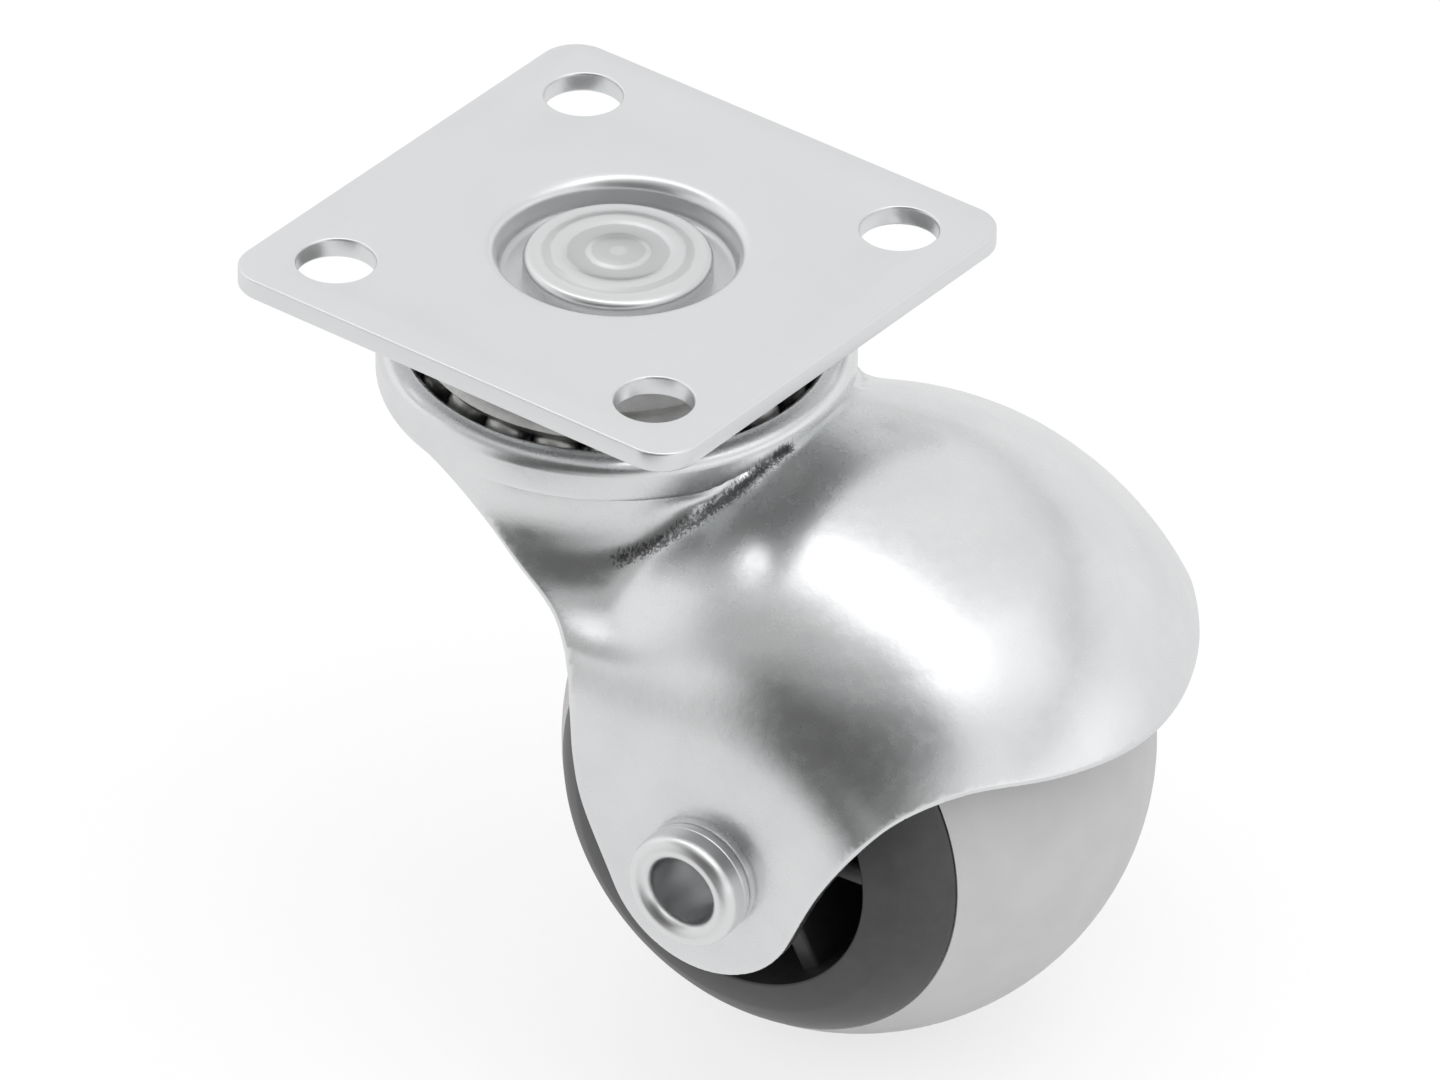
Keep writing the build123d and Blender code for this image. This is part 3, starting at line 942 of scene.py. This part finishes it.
    def thickened(self, skin: Mesh, solid: Mesh) -> bmesh.types.BMesh:
        """Give a skin its sheet thickness, with rounded cut edges.

        Args:
            skin: The trimmed skin in millimetres.
            solid: The untrimmed outside, whose normals the thickness follows.

        Returns:
            The closed sheet.
        """
        tree = KDTree(len(solid.vertices))
        for vert in solid.vertices:
            tree.insert(vert.co, vert.index)
        tree.balance()
        shape = bmesh.new()
        shape.from_mesh(skin)
        shape.verts.index_update()
        outer, faces = list(shape.verts), list(shape.faces)
        normals = []
        for vert in outer:
            total = Vector()
            for _, index, distance in tree.find_n(vert.co, 6):
                total += solid.vertices[index].normal / (distance + 0.05) ** 2
            normals.append(total.normalized())
        inner = [shape.verts.new(vert.co - normal * self.sheet) for vert, normal in zip(outer, normals)]
        edges = [edge for edge in shape.edges if edge.is_boundary]
        out = {vert: Vector() for edge in edges for vert in edge.verts}
        for edge in edges:
            along = edge.verts[1].co - edge.verts[0].co
            away = (edge.verts[0].co + edge.verts[1].co) / 2 - edge.link_faces[0].calc_center_median()
            for vert in edge.verts:
                across = along.cross(normals[vert.index])
                out[vert] += across if across.dot(away) > 0 else -across
        for _ in range(3):
            out = {vert: sum((out[edge.other_vert(vert)] for edge in vert.link_edges if edge.is_boundary),
                             out[vert] * 2) for vert in out}
        rows = {}
        for vert, across in out.items():
            normal = normals[vert.index]
            along = (across - normal * across.dot(normal)).normalized() * self.cut_round
            turns = [math.radians(angle) for angle in (22.5, 45, 67.5, 90)]
            steps = [(math.sin(t), self.cut_round * (1 - math.cos(t))) for t in turns]
            steps += [(reach, self.sheet - depth) for reach, depth in steps[::-1]]
            middle = [shape.verts.new(vert.co + along * reach - normal * depth) for reach, depth in steps]
            rows[vert] = [vert, *middle, inner[vert.index]]
        for edge in edges:
            start, end = edge.verts
            for k in range(len(rows[start]) - 1):
                shape.faces.new([rows[start][k], rows[end][k], rows[end][k + 1], rows[start][k + 1]])
        for face in faces:
            shape.faces.new([inner[vert.index] for vert in reversed(face.verts)])
        bmesh.ops.recalc_face_normals(shape, faces=shape.faces)
        return shape

    def build(self, finish: Material) -> None:
        """Build the yoke.

        Args:
            finish: The yoke's material.
        """
        barrel = moved(lathe(self.barrel_section(), Axis.AXLE, 180), self.at_hood())
        shoulders = combined(self.brim(), Join.KEEP, self.through())
        solid = combined(barrel, Join.ADD, shoulders, self.wall())
        solid = self.drawn(modified(solid, "REMESH", mode="VOXEL", voxel_size=self.voxel))
        sheet = self.thickened(self.skin(solid), solid)
        sheet.from_mesh(self.crown())
        self.add("yoke_pressing", meshed(sheet, "yoke"), finish, "zinc_yoke", ["hood_yoke"])


@dataclass
class AxleSet(Assembly):
    """Semi-tubular rivet with its washers and the wheel's sleeve."""

    pin_r: float = 3.0
    head_r: float = 4.2
    head_h: float = 1.8
    dome_h: float = 0.9
    bore_r: float = 2.45
    bore_depth: float = 6.0
    cone: float = 1.4
    sleeve_r: float = 4.0
    ear_out: float = 20.1
    ear_in: float = 18.6
    washer_r: float = 4.15
    washer_t: float = 0.8
    hole_r: float = 3.05
    body = "yoke"
    home = ON_AXLE

    def rivet(self) -> Mesh:
        """Make the rivet, its hollow end rolled over on the near side."""
        seat = self.ear_out + self.washer_t
        crest = -seat - self.head_h
        roll = (self.head_r + self.bore_r) / 2
        half_roll = (self.head_r - self.bore_r) / 2
        edge = crest + self.dome_h
        turns = [math.radians(angle) for angle in range(0, 181, 10)]
        rolled = [(roll - half_roll * math.cos(t), edge - self.dome_h * math.sin(t)) for t in turns]
        bore_end = crest + self.bore_depth
        far = seat + self.head_h
        dome_r = (self.head_r ** 2 + self.dome_h ** 2) / (2 * self.dome_h)
        rim = math.degrees(math.atan2(dome_r - self.dome_h, self.head_r))
        return lathe([(0, bore_end + self.cone), (self.bore_r, bore_end), *rolled,
                      (self.head_r, -seat), (self.pin_r, -seat), (self.pin_r, seat), (self.head_r, seat),
                      *arc((0, far - dome_r), dome_r, rim, 90, 3)], Axis.AXLE)

    def ring(self, outer: float, low: float, high: float, edge: float) -> Mesh:
        """Make a flat ring or tube about the axle with rounded outer edges."""
        return lathe([(self.hole_r, low), *arc((outer - edge, low + edge), edge, -90, 0, 15),
                      *arc((outer - edge, high - edge), edge, 0, 90, 15), (self.hole_r, high)], Axis.AXLE)

    def build(self, turned: Material, plated: Material,
              greased: Material) -> None:
        """Build the axle's pieces.

        Args:
            turned: The rivet's material.
            plated: The washers' material.
            greased: The sleeve's material.
        """
        out, thick = self.ear_out, self.washer_t
        self.add("axle_tube_rivet", self.rivet(), turned, "axle_steel", ["axle_rivet"], 50.0)
        near = self.ring(self.washer_r, -out - thick, -out, 0.2)
        far = self.ring(self.washer_r, out, out + thick, 0.2)
        sleeve = self.ring(self.sleeve_r, -self.ear_in, self.ear_in, 0.1)
        self.add("near_washer", near, plated, "washer_steel", ["axle_washer_near"])
        self.add("far_washer", far, plated, "washer_steel", ["axle_washer_far"])
        self.add("spacer_sleeve", sleeve, greased, "race_steel", ["axle_sleeve"])


@dataclass
class BallWheel(Assembly):
    """Ball-shaped wheel: a moulded core with a soft tread."""

    wheel_r: float = 20.2
    tread_half: float = 12.6
    seat_r: float = 17.2
    seat_half: float = 6.0
    tread_edge: float = 2.3
    dome_r: float = 12.7
    dome_w: float = 15.5
    bulge: float = 0.25
    lip_r: float = 10.4
    lip_w: float = 16.2
    web_half: float = 2.5
    hub_r: float = 6.2
    hub_half: float = 18.25
    bore_r: float = 4.05
    ribs: int = 6
    rib_t: float = 1.6
    rib_setback: float = 2.2
    corner: float = 0.3
    body = "wheel"
    home = ON_AXLE

    def edge(self) -> Point:
        """Find where the tread's sphere meets its side."""
        return (math.sqrt(self.wheel_r ** 2 - self.tread_half ** 2), self.tread_half)

    def tread(self) -> Mesh:
        """Make the tread, a band of a sphere with rounded edges."""
        radius, half = self.edge()
        lean = math.degrees(math.asin(half / self.wheel_r))
        scale = 1 - self.tread_edge / self.wheel_r
        seat = [(radius * scale, half * scale), (self.seat_r, self.seat_half)]
        return lathe([*arc((0, 0), self.wheel_r, -lean, lean, 3), *seat,
                      *[(r, -s) for r, s in seat[::-1]]], Axis.AXLE, 180)

    def core_half(self) -> list[Point]:
        """Draw one side of the core, from its bore out to the tread's seat."""
        radius, half = self.edge()
        scale = 1 - self.tread_edge / self.wheel_r
        along = Vector((radius - self.dome_r, half - self.dome_w))
        out = Vector((-along.y, along.x)).normalized()
        dome = [Vector((self.dome_r, self.dome_w)) + along * t / 8
                + out * self.bulge * math.sin(math.pi * t / 8) for t in range(9)]
        return [(self.bore_r, self.hub_half), (self.hub_r, self.hub_half), (self.hub_r, self.web_half),
                (self.lip_r, self.web_half), (self.lip_r, self.lip_w),
                *[(point.x, point.y) for point in dome],
                (radius * scale, half * scale), (self.seat_r, self.seat_half)]

    def core(self) -> Mesh:
        """Make the core with its ribs, its corners rounded."""
        side = self.core_half()
        shape = bmesh.new()
        shape.from_mesh(lathe([*side, *[(r, -s) for r, s in side[::-1]]], Axis.AXLE, 180))
        reach = self.lip_r - self.hub_r + 1
        width = 2 * (self.lip_w - self.rib_setback)
        block = Matrix.Translation(((self.hub_r + self.lip_r) / 2, 0, 0)) @ Matrix.Diagonal(
            (reach, width, self.rib_t, 1))
        for i in range(self.ribs):
            turn = Matrix.Rotation(math.tau * i / self.ribs, 4, "Y")
            bmesh.ops.create_cube(shape, size=1.0, matrix=turn @ block)
        sharp = sharp_edges(shape, 50)
        bmesh.ops.bevel(shape, geom=sharp, offset=self.corner, offset_type="OFFSET", segments=3,
                        profile=0.5, affect="EDGES", material=-1, clamp_overlap=True)
        return meshed(shape, "core")

    def build(self, plastic: Material, rubber: Material) -> None:
        """Build the wheel's pieces in their finishes."""
        self.add("core_moulding", self.core(), plastic, "core_plastic", ["wheel_core"], 35.0)
        self.add("tread_band", self.tread(), rubber, "tread_rubber", ["wheel_tread"], 35.0)


@dataclass(frozen=True)
class Patch:
    """A soft round patch of the room: its direction, where it begins and is full, and its depth."""

    towards: Triple
    begins: float
    full: float
    depth: float

    def seen(self, recipe: Recipe, direction: Value) -> Value:
        """Find how strongly a direction meets the patch."""
        return recipe.along(direction, self.towards).between(self.begins, self.full) * self.depth


@dataclass
class Studio:
    """White floor, soft lights, the world and the camera."""

    focal_px: float = 15132.0
    image_px: float = 1440.0
    elevation: float = 33.79
    azimuth: float = 36.93
    roll: float = 1.10
    origin_px: Point = (618.3, 244.3)
    centre_px: Point = (720.0, 540.0)
    distance: float = 1017.4
    floor_level: float = -52.7
    floor_lift: float = 0.7
    even: float = 0.87
    card: float = 0.75
    card_face: Point = (0.58, 0.92)
    card_side: Point = (-0.12, 0.12)
    card_top: Point = (0.6, 1.05)
    card_foot: Point = (-0.5, -0.38)
    strip: float = 1.1
    strip_middle: Point = (0.05, -0.08)
    strip_length: Point = (0.5, 0.8)
    strip_width: Point = (0.10, 0.22)
    strip_rise: Point = (0.2, 0.4)
    seam: float = 0.30
    seam_width: Point = (0.02, 0.07)
    seam_rise: Point = (0.1, 0.2)
    seam_facing: Triple = (0.249, 0.42, -0.873)
    shades: tuple[Patch, ...] = (Patch((-0.248, -0.533, 0.809), 0.86, 0.96, 0.38),
                                 Patch((0.627, -0.527, 0.574), 0.93, 0.985, 0.62))
    glows: tuple[Patch, ...] = (Patch((0.672, 0.245, 0.699), 0.95, 0.995, 0.3),
                                Patch((-0.88, -0.077, 0.47), 0.85, 0.97, 0.14))
    lamp_place: Triple = (0.15, 0.1, 0.9)
    lamp_size: float = 0.7
    lamp_watts: float = 2.0

    def camera(self) -> None:
        """Place the camera where the picture was taken."""
        turn = (Matrix.Rotation(math.radians(self.azimuth), 4, "Z")
                @ Matrix.Rotation(math.radians(90 - self.elevation), 4, "X")
                @ Matrix.Rotation(math.radians(self.roll), 4, "Z"))
        x, y = ((origin - centre) / self.focal_px * self.distance
                for origin, centre in zip(self.origin_px, self.centre_px))
        eye = turn @ Vector((-x, y, self.distance))
        data = bpy.data.cameras.new("camera")
        data.sensor_width = 36.0
        data.lens = self.focal_px / self.image_px * data.sensor_width
        data.clip_start, data.clip_end = 0.05, 20.0
        camera = shown("camera", data)
        camera.matrix_world = Matrix.Translation(eye * MM) @ turn
        bpy.context.scene.camera = camera

    def floor(self) -> None:
        """Lay the plain white floor."""
        shape = bmesh.new()
        place = Matrix.Translation((0, 0, self.floor_level * MM))
        bmesh.ops.create_grid(shape, x_segments=1, y_segments=1, size=4.0, matrix=place)
        floor = shown("floor", meshed(shape, "floor"))
        material, recipe = new_recipe("floor_white")
        white = recipe.node("ShaderNodeEmission", None, {"Color": (1, 1, 1, 1), "Strength": 1.0})
        plain = recipe.node("ShaderNodeBsdfDiffuse", None, {"Color": (0.94, 0.94, 0.94, 1)})
        seen = recipe.node("ShaderNodeLightPath", output="Is Camera Ray") * self.floor_lift
        mixed = recipe.node("ShaderNodeMixShader", None, {0: seen, 1: plain, 2: white})
        glossy = recipe.node("ShaderNodeLightPath", output="Is Glossy Ray")
        gone = recipe.node("ShaderNodeBsdfTransparent")
        mixed = recipe.node("ShaderNodeMixShader", None, {0: glossy, 1: mixed, 2: gone})
        recipe.node("ShaderNodeOutputMaterial", None, {"Surface": mixed})
        floor.data.materials.append(material)

    def card_seen(self, x: Value, y: Value, z: Value) -> Value:
        """Find how dark the card in front is, as a direction's parts meet it.

        Args:
            x: How far the direction points along X.
            y: How far it points along Y.
            z: How far it points up.

        Returns:
            The darkness, 0 beside the card.
        """
        turn = z.between(-0.15, 0.2) * 0.4 - 0.06
        facing = (x * turn - y) / ((1.0001 - z * z) * (turn * turn + 1)) ** 0.5
        left_edge = (x + 0.3 + (z - 0.5).most(0.0) * 2.7).between(*self.card_side)
        ends = (1 - z.between(*self.card_top)) * z.between(*self.card_foot)
        foot = 1 - (0.12 - z).between(0.0, 0.25) * x.between(0.0, 0.4) * 0.4
        return facing.between(*self.card_face) * ends * left_edge * foot * self.card

    def world(self) -> None:
        """Light the room evenly; gloss shows a dark card, a bright strip and the backdrop's seam."""
        world = bpy.data.worlds.new("studio")
        world.use_nodes = True
        bpy.context.scene.world = world
        recipe = Recipe(world.node_tree)
        direction = recipe.node("ShaderNodeTexCoord", output="Generated")
        x, y, z = (recipe.along(direction, axis) for axis in ((1, 0, 0), (0, 1, 0), (0, 0, 1)))
        dark = self.card_seen(x, y, z)
        for shade in self.shades:
            dark = dark.most(shade.seen(recipe, direction))
        off_x, off_y = (abs(part - middle) for part, middle in zip((x, y), self.strip_middle))
        strip = (1 - off_y.between(*self.strip_width)) * (1 - off_x.between(*self.strip_length))
        across = recipe.along(direction, self.seam_facing)
        seam = (1 - abs(across).between(*self.seam_width)) * z.between(*self.seam_rise)
        low = (1 - z.between(0.1, 0.4)) * z.between(-0.1, 0.1) * x.between(0.5, 0.95) * 0.3
        behind_seam = across.between(-0.02, 0.05) * z.between(0.0, 0.1) * 0.05
        level = (self.even - dark + strip * z.between(*self.strip_rise) * self.strip - seam * self.seam
                 + low + behind_seam)
        for glow in self.glows:
            level = level + glow.seen(recipe, direction)
        glossy = recipe.node("ShaderNodeLightPath", output="Is Glossy Ray")
        background = recipe.node("ShaderNodeBackground", None,
                                 {"Color": (1, 1, 1, 1), "Strength": (level - 1) * glossy + 1})
        recipe.node("ShaderNodeOutputWorld", None, {"Surface": background})

    def lamp(self) -> None:
        """Hang the soft square lamp that faces the castor."""
        data = bpy.data.lights.new("overhead_softbox", "AREA")
        data.size = self.lamp_size
        data.energy = self.lamp_watts
        lamp = shown("overhead_softbox", data)
        lamp.location = self.lamp_place
        lamp.visible_glossy = False
        lamp.rotation_euler = (-Vector(self.lamp_place)).to_track_quat("-Z", "Y").to_euler()

    def build(self) -> None:
        """Set the whole stage."""
        bpy.context.scene.view_settings.view_transform = "Standard"
        self.camera()
        self.floor()
        self.world()
        self.lamp()


def main() -> None:
    """Build the castor and its stage, and log each castor piece's face count."""
    logging.basicConfig(level=logging.INFO, format="%(name)s: %(message)s")
    # The plate's finish paints shade into its recess, inside recess_r.
    plate_zinc = PlatedSheet("plate_zinc", pale=(0.79, 0.80, 0.807), dull=(0.765, 0.775, 0.783), metallic=0.9,
                             rough=0.25, depth=0.003, recess_r=8.0).material()
    # The crease between the crown's wall and the hood, where the yoke's finish paints shade.
    crease = ((16.2, -2.3, -8.7), (15.6, -6.6, -9.9), (14.3, -9.3, -11.4), (12.5, -11.3, -13.2),
              (10.4, -12.9, -14.4))
    yoke_zinc = PlatedSheet("yoke_zinc", pale=(0.83, 0.838, 0.843), dull=(0.74, 0.75, 0.76), pit=1.0,
                            grain=0.4, depth=0.0085, crease_shade=crease).material()
    # Painted light and shade of the kingpin head's stepped rings, by radius in millimetres.
    rings = ((0.0, 0.75), (0.5, 0.75), (0.7, 0.45), (1.75, 0.45), (1.9, 0.9), (2.1, 0.9), (2.25, 0.35),
             (3.4, 0.35), (3.55, 0.95), (4.5, 0.95), (4.65, 0.5), (5.1, 0.5), (5.25, 1.0), (8.0, 1.0))
    turned = TurnedSteel("turned_zinc", colour=(0.775, 0.78, 0.785), shading_bands=rings).material()
    axle_axis = (IN_YOKE.to_3x3() @ Vector((0, 1, 0))).normalized()
    axle_steel = TurnedSteel("axle_zinc", centre=tuple(ON_AXLE.translation), axis=tuple(axle_axis)).material()
    race_steel = greased("greased_steel", 0.66, 0.80, 0.35)
    core_plastic = Mottled("core_plastic", (0.022, 0.022, 0.023), (0.036, 0.036, 0.038), 0.36, 0.15,
                           (3.0, 5.0, 0.65), grain=(0.18, 2.0, 0.5), patch_height=0.3, depth=0.006,
                           specular=0.8)
    tread_rubber = Mottled("tread_rubber", (0.497, 0.491, 0.492), (0.527, 0.522, 0.524), 0.58, 0.16,
                           (4.0, 5.0, 0.6))
    TopPlate().build(plate_zinc)
    SwivelBearing().build(turned, race_steel)
    # The balls' darker tints are painted shade, keeping the slit under the plate dark.
    BallRow().build(greased("ball_steel", 0.48, 0.66, 0.2))
    HoodYoke().build(yoke_zinc)
    AxleSet().build(axle_steel, plate_zinc, race_steel)
    BallWheel().build(core_plastic.material(), tread_rubber.material())
    Studio().build()


if __name__ == "__main__":
    main()
